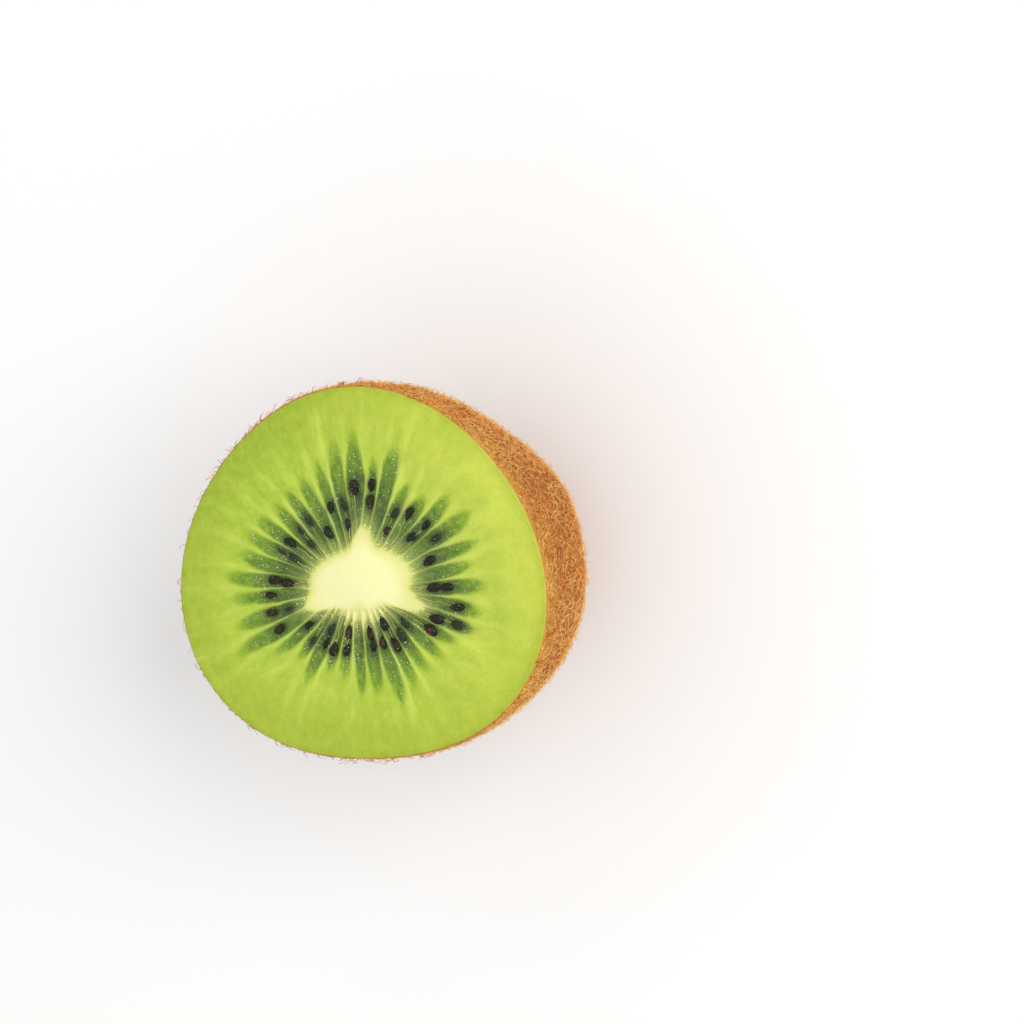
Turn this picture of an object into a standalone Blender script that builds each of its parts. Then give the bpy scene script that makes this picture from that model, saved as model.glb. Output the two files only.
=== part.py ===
# Half a kiwi fruit, cut across and set down on its stem end with the cut face up.
# Metres, +Z up. The origin is below the middle of the cut, at the level that the stem scar rests on.
import math
import random

import bmesh
import bpy
import numpy as np
from mathutils import Matrix, Vector

mm = 0.001

# The fruit's outline where it is cut: a mean radius, an oval and a three-sided swelling.
MEAN_RADIUS = 24.8 * mm
OVAL = 1.35 * mm
OVAL_TURN = math.radians(-4.5)
THREE_SIDED = 0.8 * mm
THREE_SIDED_TURN = math.radians(76.6)

# The side, from the cut down to the blunt stem end.
HALF_LENGTH = 33.5 * mm
SIDE_POWER = 1.9
END_BLUNTNESS = 2.5
SHOULDER = 0.55 * mm
SHOULDER_ANGLE = math.radians(11)
FLAT_ANGLE = math.radians(42)
SHOULDER_WIDTH = math.radians(14)

# The pale core, an oval with three drawn-out corners and a scalloped edge.
# A corner is an angle, a height and a width.
CORE_HALF_LONG = 7.5 * mm
CORE_HALF_SHORT = 4.0 * mm
CORE_TURN = math.radians(-7)
CORE_LEAN = 0.35 * mm
CORE_LEAN_ANGLE = math.radians(46)
CORE_CORNERS = (
    (math.radians(67), 2.6 * mm, math.radians(15)),
    (math.radians(-36), 3.6 * mm, math.radians(9.5)),
    (math.radians(-167), 2.5 * mm, math.radians(10.5)),
)
CORE_SCALLOP = 0.12 * mm
CORE_RISE = 0.45 * mm

# The outline that the chambers' walls are evenly spaced along, a softer one than the core's own.
SPACING_RADIUS = 6.0 * mm
SPACING_OVAL = 1.5 * mm
SPACING_OVAL_TURN = math.radians(-8)
SPACING_THREE_SIDED = 1.05 * mm
SPACING_THREE_SIDED_TURN = math.radians(70)

# The ring of juice chambers round the core, with a pale wall between each two.
CHAMBERS = 36
CHAMBER_REACH = 9.0 * mm
CHAMBER_DIP = 0.42 * mm
CHAMBER_BIAS = 0.7
WALL_SHARE = 0.3

# The cut rim, where the flesh rounds over to the skin.
RIM_ROUND = 0.6 * mm
FLESH_CROWN = 0.25 * mm

# Seeds lie in the chambers in two rows, pointed end towards the core.
SEED_LENGTH = 2.1 * mm
SEED_WIDTH = 1.3 * mm
SEED_THICKNESS = 1.0 * mm
SEED_SIZES = (0.82, 1.12)
SEED_TAPER = 0.42
SEED_SUNK = 0.46 * mm
INNER_ROW = 2.6 * mm
OUTER_ROW = 5.0 * mm
ROW_SPREAD = 0.6 * mm
INNER_EVERY = 2
OUTER_GAP_EVERY = 5
SEED_TURN = math.radians(14)
SEED_SCATTER = 0.12
SEED_DRAW = 11

# The stem scar: a collar that the half rests on, round a sunken button.
SCAR_RADIUS = 6.4 * mm
SCAR_SKIRT = 8.2 * mm
COLLAR_OUTER = 5.5 * mm
COLLAR_INNER = 4.2 * mm
COLLAR_STAND = 0.2 * mm
COLLAR_WAVE = 0.15 * mm
COLLAR_LOBES = 5
GROOVE_RADIUS = 3.6 * mm
GROOVE_TOP = 0.5 * mm
BUTTON_RADIUS = 3.0 * mm
BUTTON_NUB = 0.9 * mm
BUTTON_SUNK = 0.25 * mm

# How finely the surface is divided.
SEGMENTS = CHAMBERS * 4
OUTLINE_SAMPLES = 2880
SIDE_STEPS = 8
CORE_STEPS = (0.35, 0.7, 0.92, 1.0)
CHAMBER_STEPS = (0.12, 0.3, 0.5, 0.75, 1.0)
FLESH_STEPS = (0.4, 0.75, 1.0)
ROUND_STEPS = 3
SEED_SEGMENTS = 8
SEED_RINGS = 4
CREASE_ANGLE = math.radians(60)


def clear_scene():
    for old in list(bpy.data.objects):
        bpy.data.objects.remove(old)


def new_collection(name):
    made = bpy.data.collections.new(name)
    bpy.context.scene.collection.children.link(made)
    return made


def new_material(name, colour, roughness):
    made = bpy.data.materials.new(name)
    made.use_nodes = True
    surface = made.node_tree.nodes["Principled BSDF"]
    surface.inputs["Base Color"].default_value = (*colour, 1)
    surface.inputs["Roughness"].default_value = roughness
    surface.inputs["Metallic"].default_value = 0
    made.diffuse_color = (*colour, 1)
    return made


def lobes(angle, count, turn):
    return math.cos(count * (angle - turn))


def rim_radius(angle):
    return MEAN_RADIUS + OVAL * lobes(angle, 2, OVAL_TURN) + THREE_SIDED * lobes(angle, 3, THREE_SIDED_TURN)


def swelling(angle, centre, width):
    away = (angle - centre + math.pi) % (2 * math.pi) - math.pi
    return math.exp(-((away / width) ** 2))


def core_radius(angle):
    turned = angle - CORE_TURN
    across = math.hypot(CORE_HALF_SHORT * math.cos(turned), CORE_HALF_LONG * math.sin(turned))
    oval = CORE_HALF_LONG * CORE_HALF_SHORT / across + CORE_LEAN * math.cos(angle - CORE_LEAN_ANGLE)
    corners = sum(height * swelling(angle, centre, width) for centre, height, width in CORE_CORNERS)
    return oval + corners + CORE_SCALLOP * math.cos(CHAMBERS * angle)


def spacing_radius(angle):
    oval = SPACING_OVAL * lobes(angle, 2, SPACING_OVAL_TURN)
    return SPACING_RADIUS + oval + SPACING_THREE_SIDED * lobes(angle, 3, SPACING_THREE_SIDED_TURN)


def side_radius(angle, depth_share):
    """The skin's radius at a share of the way down from the cut to the stem end."""
    shrink = (1 - depth_share**SIDE_POWER) ** (1 / END_BLUNTNESS)
    lump = swelling(angle, SHOULDER_ANGLE, SHOULDER_WIDTH) - swelling(angle, FLAT_ANGLE, SHOULDER_WIDTH)
    return rim_radius(angle) * shrink + SHOULDER * lump * math.sin(math.pi * depth_share)


def depth_where(radius):
    """The depth at which the mean side has shrunk to this radius."""
    return HALF_LENGTH * (1 - (radius / MEAN_RADIUS) ** END_BLUNTNESS) ** (1 / SIDE_POWER)


def at(angle, radius, height):
    return Vector((radius * math.sin(angle), -radius * math.cos(angle), height))


def ring(radius_at, height_at):
    """One section of the loft: a closed loop of points round the fruit's axis."""
    angles = [2 * math.pi * i / SEGMENTS for i in range(SEGMENTS)]
    return [at(angle, radius_at(angle), height_at(angle)) for angle in angles]


def even_core_angles():
    """Angles at even steps along the spacing outline, paired with even angles round the rim."""
    angles = np.linspace(0, 2 * math.pi, OUTLINE_SAMPLES + 1)
    edge = np.array([at(angle, spacing_radius(angle), 0) for angle in angles])
    walked = np.concatenate(([0], np.cumsum(np.linalg.norm(np.diff(edge, axis=0), axis=1))))
    rim_angles = walked / walked[-1] * 2 * math.pi
    return rim_angles - np.mean(rim_angles - angles), angles


RIM_ANGLES, CORE_ANGLES = even_core_angles()


def ray(angle):
    """The line that a chamber follows across the cut: from the core's edge to where the rim rounds over."""
    lap = math.floor((angle - RIM_ANGLES[0]) / (2 * math.pi)) * 2 * math.pi
    core_angle = np.interp(angle - lap, RIM_ANGLES, CORE_ANGLES)
    start = at(core_angle, core_radius(core_angle), HALF_LENGTH)
    end = at(angle, rim_radius(angle) - RIM_ROUND, HALF_LENGTH)
    return start, end


def chamber_depth(angle, share):
    """How far the cut surface dips, deepest in the middle of a chamber and least on a wall."""
    across = 0.5 - 0.5 * math.cos(CHAMBERS * angle)
    return CHAMBER_DIP * math.sin(math.pi * share**CHAMBER_BIAS) * (WALL_SHARE + (1 - WALL_SHARE) * across)


def flesh_point(angle, beyond):
    """A point of the cut face, this far beyond the core's edge."""
    start, end = ray(angle)
    length = (end - start).length
    if beyond <= CHAMBER_REACH:
        rise = -chamber_depth(angle, beyond / CHAMBER_REACH)
    else:
        rise = FLESH_CROWN * math.sin(math.pi * (beyond - CHAMBER_REACH) / (length - CHAMBER_REACH))
    return start.lerp(end, beyond / length) + Vector((0, 0, rise))


def face_rings():
    """The cut face from the core's middle outwards."""
    angles = [2 * math.pi * i / SEGMENTS for i in range(SEGMENTS)]
    for share in CORE_STEPS:
        dome = Vector((0, 0, CORE_RISE * (1 - share**2)))
        middle = Vector((0, 0, HALF_LENGTH))
        yield [middle.lerp(ray(angle)[0], share) + dome for angle in angles]
    for share in CHAMBER_STEPS:
        yield [flesh_point(angle, CHAMBER_REACH * share) for angle in angles]
    for share in FLESH_STEPS:
        yield [flesh_point(angle, flesh_distance(angle, share)) for angle in angles]


def flesh_distance(angle, share):
    start, end = ray(angle)
    return CHAMBER_REACH + ((end - start).length - CHAMBER_REACH) * share


def rim_rings():
    """A quarter round from the cut face to the skin."""
    for step in range(1, ROUND_STEPS + 1):
        turn = math.pi / 2 * step / ROUND_STEPS
        inset = RIM_ROUND * (1 - math.sin(turn))
        drop = RIM_ROUND * (1 - math.cos(turn))
        yield ring(
            lambda angle: side_radius(angle, RIM_ROUND / HALF_LENGTH) - inset,
            lambda angle: HALF_LENGTH - drop,
        )


def side_rings():
    """The skin, from below the rim to the edge of the scar."""
    start = math.asin(RIM_ROUND / HALF_LENGTH)
    end = math.asin(depth_where(SCAR_SKIRT) / HALF_LENGTH)
    for step in range(1, SIDE_STEPS + 1):
        share = math.sin(start + (end - start) * step / SIDE_STEPS)
        yield ring(
            lambda angle: side_radius(angle, share),
            lambda angle: HALF_LENGTH * (1 - share),
        )


def scar_rings():
    """The stem scar, from the skin in to its button. The collar's foot is flat at one height."""
    foot = -COLLAR_STAND
    steps = (
        (SCAR_RADIUS, COLLAR_WAVE, HALF_LENGTH - depth_where(SCAR_RADIUS)),
        (COLLAR_OUTER, COLLAR_WAVE, foot),
        (COLLAR_INNER, COLLAR_WAVE, foot),
        (GROOVE_RADIUS, 0, GROOVE_TOP),
        (BUTTON_RADIUS, 0, foot + BUTTON_SUNK),
        (BUTTON_NUB, 0, foot + BUTTON_SUNK),
    )
    for radius, wave, height in steps:
        yield ring(
            lambda angle: radius + wave * math.sin(COLLAR_LOBES * angle),
            lambda angle: height,
        )


def loft(name, sections, first_pole, last_pole, face_material, face_rows):
    """Skins the sections in order and closes each end with a pole. The first rows show cut flesh."""
    mesh = bpy.data.meshes.new(name)
    shape = bmesh.new()
    loops = [[shape.verts.new(point) for point in section] for section in sections]
    for row, (upper, lower) in enumerate(zip(loops, loops[1:])):
        for i in range(SEGMENTS):
            after = (i + 1) % SEGMENTS
            face = shape.faces.new((upper[i], lower[i], lower[after], upper[after]))
            face.material_index = 0 if row < face_rows else 1
    for loop, pole, material_index in ((loops[0], first_pole, 0), (loops[-1], last_pole, 1)):
        tip = shape.verts.new(pole)
        for i in range(SEGMENTS):
            face = shape.faces.new((tip, loop[i], loop[(i + 1) % SEGMENTS]))
            face.material_index = material_index
    bmesh.ops.recalc_face_normals(shape, faces=shape.faces)
    bmesh.ops.triangulate(shape, faces=shape.faces)
    shape.to_mesh(mesh)
    shape.free()
    for material in face_material:
        mesh.materials.append(material)
    return bpy.data.objects.new(name, mesh)


def make_body(collection, flesh, skin):
    cut = list(face_rings()) + list(rim_rings())
    sections = cut + list(side_rings()) + list(scar_rings())
    top = Vector((0, 0, HALF_LENGTH + CORE_RISE))
    button = Vector((0, 0, BUTTON_SUNK / 2 - COLLAR_STAND))
    body = loft("kiwi_half", sections, top, button, (flesh, skin), len(cut) - 1)
    collection.objects.link(body)
    return body


def seed_places():
    """Each seed's angle, distance from the core, turn and size, in an outer and a sparser inner row."""
    draw = random.Random(SEED_DRAW)
    for chamber in range(CHAMBERS):
        rows = []
        if chamber % INNER_EVERY == 0:
            rows.append(INNER_ROW)
        if chamber % OUTER_GAP_EVERY:
            rows.append(OUTER_ROW)
        for row in rows:
            angle = 2 * math.pi * (chamber + 0.5 + draw.uniform(-SEED_SCATTER, SEED_SCATTER)) / CHAMBERS
            beyond = row + draw.uniform(-ROW_SPREAD, ROW_SPREAD)
            yield angle, beyond, draw.uniform(-SEED_TURN, SEED_TURN), draw.uniform(*SEED_SIZES)


def make_seed_mesh(material):
    """A teardrop, long in X, with its point towards -X."""
    shape = bmesh.new()
    bmesh.ops.create_uvsphere(shape, u_segments=SEED_SEGMENTS, v_segments=SEED_RINGS, radius=0.5)
    bmesh.ops.rotate(shape, verts=shape.verts, matrix=Matrix.Rotation(math.pi / 2, 3, "Y"))
    for vert in shape.verts:
        narrow = 1 + SEED_TAPER * vert.co.x
        vert.co.x *= SEED_LENGTH
        vert.co.y *= SEED_WIDTH * narrow
        vert.co.z *= SEED_THICKNESS * narrow
    mesh = bpy.data.meshes.new("seed")
    shape.to_mesh(mesh)
    shape.free()
    mesh.materials.append(material)
    return mesh


def make_seeds(collection, material):
    mesh = make_seed_mesh(material)
    for number, (angle, beyond, turn, size) in enumerate(seed_places()):
        seed = bpy.data.objects.new(f"seed_{number:02d}", mesh)
        start, end = ray(angle)
        outward = end - start
        seed.location = flesh_point(angle, beyond) + Vector((0, 0, SEED_THICKNESS * size / 2 - SEED_SUNK))
        seed.rotation_euler.z = math.atan2(outward.y, outward.x) + turn
        seed.scale = (size, size, size)
        collection.objects.link(seed)


def apply_modifiers(obj):
    bpy.context.view_layer.update()
    evaluated = obj.evaluated_get(bpy.context.evaluated_depsgraph_get())
    mesh = bpy.data.meshes.new_from_object(evaluated)
    obj.modifiers.clear()
    obj.data = mesh


def fuse_seeds(body, seeds):
    """Joins the seeds to the flesh that they lie in, as one solid."""
    union = body.modifiers.new("seeds", "BOOLEAN")
    union.operation = "UNION"
    union.operand_type = "COLLECTION"
    union.collection = seeds
    union.solver = "EXACT"
    apply_modifiers(body)
    for seed in list(seeds.objects):
        bpy.data.objects.remove(seed)
    bpy.data.collections.remove(seeds)


def set_on_base(body):
    """Moves the half so that the origin is the middle of its box, on the collar's foot."""
    points = [vert.co for vert in body.data.vertices]
    low = Vector([min(point[i] for point in points) for i in range(3)])
    high = Vector([max(point[i] for point in points) for i in range(3)])
    middle = (low + high) / 2
    body.data.transform(Matrix.Translation((-middle.x, -middle.y, -low.z)))


def main():
    clear_scene()
    flesh = new_material("cut_flesh", (0.47, 0.62, 0.08), 0.35)
    skin = new_material("furry_skin", (0.5, 0.22, 0.06), 0.85)
    seed_coat = new_material("seed_coat", (0.02, 0.014, 0.008), 0.3)
    fruit = new_collection("kiwi_fruit_half")
    seeds = new_collection("kiwi_seeds")
    body = make_body(fruit, flesh, skin)
    make_seeds(seeds, seed_coat)
    fuse_seeds(body, seeds)
    set_on_base(body)
    body.data.shade_smooth()
    body.data.set_sharp_from_angle(angle=CREASE_ANGLE)


main()
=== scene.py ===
import math
import random

import bpy
import numpy as np
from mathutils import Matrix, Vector, noise


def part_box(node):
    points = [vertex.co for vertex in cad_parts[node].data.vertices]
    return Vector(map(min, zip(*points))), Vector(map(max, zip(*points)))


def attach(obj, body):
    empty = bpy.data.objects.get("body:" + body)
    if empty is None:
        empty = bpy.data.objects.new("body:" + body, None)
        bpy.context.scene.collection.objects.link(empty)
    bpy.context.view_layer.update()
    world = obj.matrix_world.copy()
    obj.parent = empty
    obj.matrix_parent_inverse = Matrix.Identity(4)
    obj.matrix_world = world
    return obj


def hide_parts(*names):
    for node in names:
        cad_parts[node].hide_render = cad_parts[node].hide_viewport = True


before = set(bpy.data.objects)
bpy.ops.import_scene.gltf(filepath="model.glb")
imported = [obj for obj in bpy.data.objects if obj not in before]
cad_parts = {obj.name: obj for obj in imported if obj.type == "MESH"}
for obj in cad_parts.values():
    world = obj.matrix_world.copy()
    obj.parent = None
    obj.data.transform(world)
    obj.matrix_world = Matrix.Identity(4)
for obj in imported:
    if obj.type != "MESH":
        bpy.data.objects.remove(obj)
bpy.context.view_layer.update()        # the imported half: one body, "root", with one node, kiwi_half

# Half a kiwi fruit on its stem end, cut face up: cream core, dark seeds, green flesh, furry brown skin.
mm = 0.001
lap = 2 * math.pi
lowCorner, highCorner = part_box("kiwi_half")

# The fruit's form, as radii about its own axis and depths below the cut. Turns are in degrees,
# and each lump is an angle, a height and a width.
form = {
    "radius": 24.8 * mm,
    "oval": 1.35 * mm, "ovalTurn": -4.5,
    "threeSided": 0.8 * mm, "threeSidedTurn": 76.6,
    "halfLength": 33.5 * mm, "sidePower": 1.9, "endBluntness": 2.5,
    "lumps": ((11, 0.55 * mm, 14), (42, -0.55 * mm, 14)),
    "rimRound": 0.6 * mm, "fleshCrown": 0.25 * mm,
}
# The core is an oval with three drawn-out corners, and its cream reaches past the outline at some angles.
core = {
    "halfLong": 7.5 * mm, "halfShort": 4.0 * mm, "turn": -7,
    "lean": 0.35 * mm, "leanTurn": 46,
    "corners": ((67, 2.6 * mm, 15), (-36, 3.6 * mm, 9.5), (-167, 2.5 * mm, 10.5)),
    "fill": ((-103, 1.9 * mm, 34), (-150, 0.5 * mm, 14)),
    "rise": 0.45 * mm, "scallop": 0.27 * mm,
    "hazeAt": (-1.3, -0.8, -0.4, -0.1, 0.2, 0.5, 0.9, 1.4, 2.0, 2.8),
    "haze": (1.0, 0.98, 0.9, 0.76, 0.54, 0.38, 0.26, 0.16, 0.08, 0.0),
}
# The outline that the chambers' walls are evenly spaced along.
spacing = {
    "radius": 6.0 * mm,
    "oval": 1.5 * mm, "ovalTurn": -8,
    "threeSided": 1.05 * mm, "threeSidedTurn": 70,
}
chambers = {
    "count": 36, "reach": 9.0 * mm, "stain": 9.5 * mm, "stainSpread": (0.82, 1.22),
    "longer": ((88, 0.16, 36), (-95, 0.12, 36)),
    "dip": 0.42 * mm, "dipBias": 0.7, "wallShare": 0.3, "wander": 0.19, "seed": 7,
}


def say(stage):
    print("kiwi half:", stage)


def lobed(angle, shape):
    # a round outline, drawn out a little both ways and on three sides
    oval = shape["oval"] * np.cos(2 * (angle - math.radians(shape["ovalTurn"])))
    threeSided = shape["threeSided"] * np.cos(3 * (angle - math.radians(shape["threeSidedTurn"])))
    return shape["radius"] + oval + threeSided


def swelling(angle, centre, width):
    away = (angle - math.radians(centre) + math.pi) % lap - math.pi
    return np.exp(-((away / math.radians(width)) ** 2))


def swellings(angle, lumps):
    return sum(height * swelling(angle, centre, width) for centre, height, width in lumps)


def coreOval(angle):
    # the core's outline without its corners
    long, short = core["halfLong"], core["halfShort"]
    turned = angle - math.radians(core["turn"])
    oval = long * short / np.hypot(short * np.cos(turned), long * np.sin(turned))
    return oval + core["lean"] * np.cos(angle - math.radians(core["leanTurn"]))


def coreRadius(angle):
    return coreOval(angle) + swellings(angle, core["corners"])


def coreFill(angle):
    return swellings(angle, core["fill"])


def sideRadius(angle, share):
    # the skin's radius at a share of the way down from the cut to the stem end
    shrink = (1 - share ** form["sidePower"]) ** (1 / form["endBluntness"])
    return lobed(angle, form) * shrink + swellings(angle, form["lumps"]) * np.sin(math.pi * share)


def shareWhere(radius):
    # how far down the mean side has shrunk to this radius
    return (1 - (radius / form["radius"]) ** form["endBluntness"]) ** (1 / form["sidePower"])


# The cut's level and the fruit's axis, found from the frame's box.
cutLevel = highCorner.z - core["rise"]
turns = np.linspace(0, lap, 3600)
across, along = lobed(turns, form) * np.sin(turns), -lobed(turns, form) * np.cos(turns)
axis = Vector((
    (lowCorner.x + highCorner.x - across.min() - across.max()) / 2,
    (lowCorner.y + highCorner.y - along.min() - along.max()) / 2,
    cutLevel,
))


def around(angle, radius, height):
    # points at this angle round the fruit's axis, with heights from the cut
    angle, radius, height = np.broadcast_arrays(angle, radius, height)
    return np.stack([radius * np.sin(angle), -radius * np.cos(angle), height], axis=-1) + np.array(axis)


def evenCoreAngles():
    # angles at even steps along the spacing outline, paired with even angles round the rim
    edge = around(turns, lobed(turns, spacing), 0)
    walked = np.concatenate(([0], np.cumsum(np.linalg.norm(np.diff(edge, axis=0), axis=1))))
    rimAngles = walked / walked[-1] * lap
    return rimAngles - np.mean(rimAngles - turns), turns


rimAngles, coreAngles = evenCoreAngles()


def ray(angle):
    # the line that a chamber follows over the cut, from the core's edge to where the rim rounds over
    laps = np.floor((angle - rimAngles[0]) / lap) * lap
    coreAngle = np.interp(angle - laps, rimAngles, coreAngles)
    end = around(angle, lobed(angle, form) - form["rimRound"], 0)
    return around(coreAngle, coreRadius(coreAngle), 0), end


def roughly(points, size, shift=0.0):
    # smooth noise from -1 to 1 at each point, with features of this size
    flat = points.reshape(-1, 3) / size + shift
    return np.array([noise.noise(Vector(point)) for point in flat]).reshape(points.shape[:-1])


def step(value, low, high):
    share = np.clip((value - low) / (high - low), 0, 1)
    return share * share * (3 - 2 * share)


def unit(vectors):
    return vectors / np.maximum(np.linalg.norm(vectors, axis=-1, keepdims=True), 1e-9)


def turnFlat(x, y, heading):
    return x * math.cos(heading) - y * math.sin(heading), x * math.sin(heading) + y * math.cos(heading)


def deselectAll():
    if bpy.context.object and bpy.context.object.mode != "OBJECT":
        bpy.ops.object.mode_set(mode="OBJECT")
    bpy.ops.object.select_all(action="DESELECT")


def selectOnly(piece):
    deselectAll()
    piece.select_set(True)
    bpy.context.view_layer.objects.active = piece


def addObject(name, data):
    added = bpy.data.objects.new(name, data)
    bpy.context.scene.collection.objects.link(added)
    return added


def editAll(piece, *edits):
    # runs edit mode operators, each with its settings, on the whole of a piece
    selectOnly(piece)
    bpy.ops.object.mode_set(mode="EDIT")
    for operator, settings in edits:
        bpy.ops.mesh.select_all(action="SELECT")
        operator(**settings)
    bpy.ops.object.mode_set(mode="OBJECT")


normalsOutwards = (bpy.ops.mesh.normals_make_consistent, {"inside": False})


def finishPiece(piece, material):
    piece.data.materials.append(material)
    piece.data.shade_smooth()
    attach(piece, "root")
    say(f"{piece.name}, {sum(len(face.vertices) - 2 for face in piece.data.polygons)} triangles")
    return piece


def wrapGrid(name, grid, layers):
    # a sphere whose rings are moved onto the grid's rows. The first and last rows are its poles.
    rows, columns = grid.shape[:2]
    deselectAll()
    bpy.ops.mesh.primitive_uv_sphere_add(segments=columns, ring_count=rows - 1, radius=1)
    piece = bpy.context.object
    piece.name = piece.data.name = name
    points = np.zeros(len(piece.data.vertices) * 3)
    piece.data.vertices.foreach_get("co", points)
    points = points.reshape(-1, 3)
    row = np.rint(np.arccos(np.clip(points[:, 2], -1, 1)) / math.pi * (rows - 1)).astype(int)
    column = np.rint(np.arctan2(points[:, 1], points[:, 0]) / lap * columns).astype(int) % columns
    piece.data.vertices.foreach_set("co", grid[row, column].ravel())
    for layerName, values in layers.items():
        kind, key = ("FLOAT_VECTOR", "vector") if values.ndim == 3 else ("FLOAT", "value")
        added = piece.data.attributes.new(layerName, kind, "POINT")
        added.data.foreach_set(key, values[row, column].astype(np.float32).ravel())
    piece.data.update()
    editAll(piece, normalsOutwards)
    return piece


def template(piece):
    # a modelled piece's points and triangles, to copy. The piece itself is removed.
    editAll(piece, (bpy.ops.mesh.quads_convert_to_tris, {}), normalsOutwards)
    points = np.array([vert.co[:] for vert in piece.data.vertices])
    faces = np.array([face.vertices[:] for face in piece.data.polygons])
    mesh = piece.data
    bpy.data.objects.remove(piece)
    bpy.data.meshes.remove(mesh)
    return points, faces


def joinCopies(name, points, faces, layers):
    # points holds one row of points for each copy, and each copy has the template's faces
    copies, size = points.shape[:2]
    joined = (faces[None] + size * np.arange(copies)[:, None, None]).reshape(-1, faces.shape[1])
    mesh = bpy.data.meshes.new(name)
    mesh.from_pydata(points.reshape(-1, 3).tolist(), [], joined.tolist())
    for layerName, values in layers.items():
        added = mesh.attributes.new(layerName, "FLOAT", "POINT")
        added.data.foreach_set("value", np.broadcast_to(values, (copies, size)).astype(np.float32).ravel())
    return addObject(name, mesh)


# Materials.

def tint(*levels):
    # red, green and blue as seen on screen, 0 to 255, as Blender's linear values
    linear = [(c / 255 / 12.92 if c <= 10 else ((c / 255 + 0.055) / 1.055) ** 2.4) for c in levels]
    return (*linear, 1)


def put(tree, kind, sockets=None, **settings):
    # adds a node, sets it up, and links or sets its inputs
    node = tree.nodes.new("ShaderNode" + kind)
    for key, value in settings.items():
        setattr(node, key, value)
    for key, value in (sockets or {}).items():
        if isinstance(value, bpy.types.NodeSocket):
            tree.links.new(value, node.inputs[key])
        else:
            node.inputs[key].default_value = value
    return node


def sums(tree, kind, *values):
    return put(tree, "Math", dict(enumerate(values)), operation=kind).outputs[0]


def times(tree, product, *rest):
    for value in rest:
        product = sums(tree, "MULTIPLY", product, value)
    return product


def ramp(tree, value, low, high, toLow=0.0, toHigh=1.0):
    sockets = {"Value": value, "From Min": low, "From Max": high, "To Min": toLow, "To Max": toHigh}
    return put(tree, "MapRange", sockets, interpolation_type="SMOOTHSTEP").outputs[0]


def layer(tree, name, output="Fac"):
    return put(tree, "Attribute", attribute_name=name).outputs[output]


def wash(tree, colour, *coats):
    # lays each coat's colour on by the product of its shares, which are sockets, numbers or layers' names
    for top, *shares in coats:
        shares = [layer(tree, share) if isinstance(share, str) else share for share in shares]
        mixed = put(tree, "Mix", {0: times(tree, *shares), 6: colour, 7: top}, data_type="RGBA")
        colour = mixed.outputs[2]
    return colour


def newMaterial(name, roughness, specular):
    material = bpy.data.materials.new(name)
    material.use_nodes = True
    tree = material.node_tree
    shader = tree.nodes["Principled BSDF"]
    shader.inputs["Roughness"].default_value = roughness
    shader.inputs["Specular IOR Level"].default_value = specular
    return material, tree, shader, put(tree, "TexCoord").outputs["Object"]


def paint(tree, shader, colour):
    tree.links.new(colour, shader.inputs["Base Color"])


def roughen(tree, shader, height, strength=0.6, distance=0.0001):
    bump = put(tree, "Bump", {"Height": height, "Strength": strength, "Distance": distance})
    tree.links.new(bump.outputs[0], shader.inputs["Normal"])


def newGroup(name, numbers):
    # a node group that takes a vector and these numbers, and gives one value
    group = bpy.data.node_groups.new(name, "ShaderNodeTree")
    group.interface.new_socket("Vector", in_out="INPUT", socket_type="NodeSocketVector")
    for label, value in numbers.items():
        group.interface.new_socket(label, in_out="INPUT", socket_type="NodeSocketFloat").default_value = value
    group.interface.new_socket("Value", in_out="OUTPUT", socket_type="NodeSocketFloat")
    start, end = group.nodes.new("NodeGroupInput"), group.nodes.new("NodeGroupOutput")
    return group, start.outputs, end.inputs["Value"]


def buildMottle():
    # soft uneven patches, from 0 to 1
    group, given, result = newGroup("softMottle", {"Scale": 200.0, "Contrast": 0.5})
    broad = put(group, "TexNoise", {"Vector": given["Vector"], "Scale": given["Scale"],
                                    "Detail": 4.0, "Roughness": 0.6})
    spread = times(group, given["Contrast"], 0.3)
    low, high = sums(group, "SUBTRACT", 0.5, spread), sums(group, "ADD", 0.5, spread)
    group.links.new(ramp(group, broad.outputs["Fac"], high, low, 1.0, 0.0), result)
    return group


def buildSpecks():
    # scattered tiny uneven dots, in a share of the cells, where painted glints go, as of wet juice sacs
    # catching the light
    group, given, result = newGroup("glintSpecks", {"Scale": 2500.0, "Size": 0.22, "Share": 0.2})
    warp = put(group, "TexNoise", {"Vector": given["Vector"], "Scale": 9000.0, "Detail": 1.0})
    shift = put(group, "VectorMath", {0: warp.outputs["Color"], "Scale": 0.00016}, operation="SCALE")
    place = put(group, "VectorMath", {0: given["Vector"], 1: shift.outputs[0]}, operation="ADD")
    cells = put(group, "TexVoronoi", {"Vector": place.outputs[0], "Scale": given["Scale"], "Randomness": 1.0},
                voronoi_dimensions="2D")
    apart = put(group, "SeparateColor", {"Color": cells.outputs["Color"]}).outputs
    chosen = sums(group, "LESS_THAN", apart[0], given["Share"])
    size = times(group, given["Size"], ramp(group, apart[1], 0.0, 1.0, 0.45, 1.15))
    dot = ramp(group, cells.outputs["Distance"], times(group, size, 0.35), size, 1.0, 0.0)
    group.links.new(times(group, dot, chosen, ramp(group, apart[2], 0.0, 1.0, 0.3, 1.0)), result)
    return group


softMottle = buildMottle()
glintSpecks = buildSpecks()


def mottle(tree, place, scale, contrast):
    sockets = {"Vector": place, "Scale": scale, "Contrast": contrast}
    return put(tree, "Group", sockets, node_tree=softMottle).outputs["Value"]


def specks(tree, place, scale, size, share):
    sockets = {"Vector": place, "Scale": scale, "Size": size, "Share": share}
    return put(tree, "Group", sockets, node_tree=glintSpecks).outputs["Value"]


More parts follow.
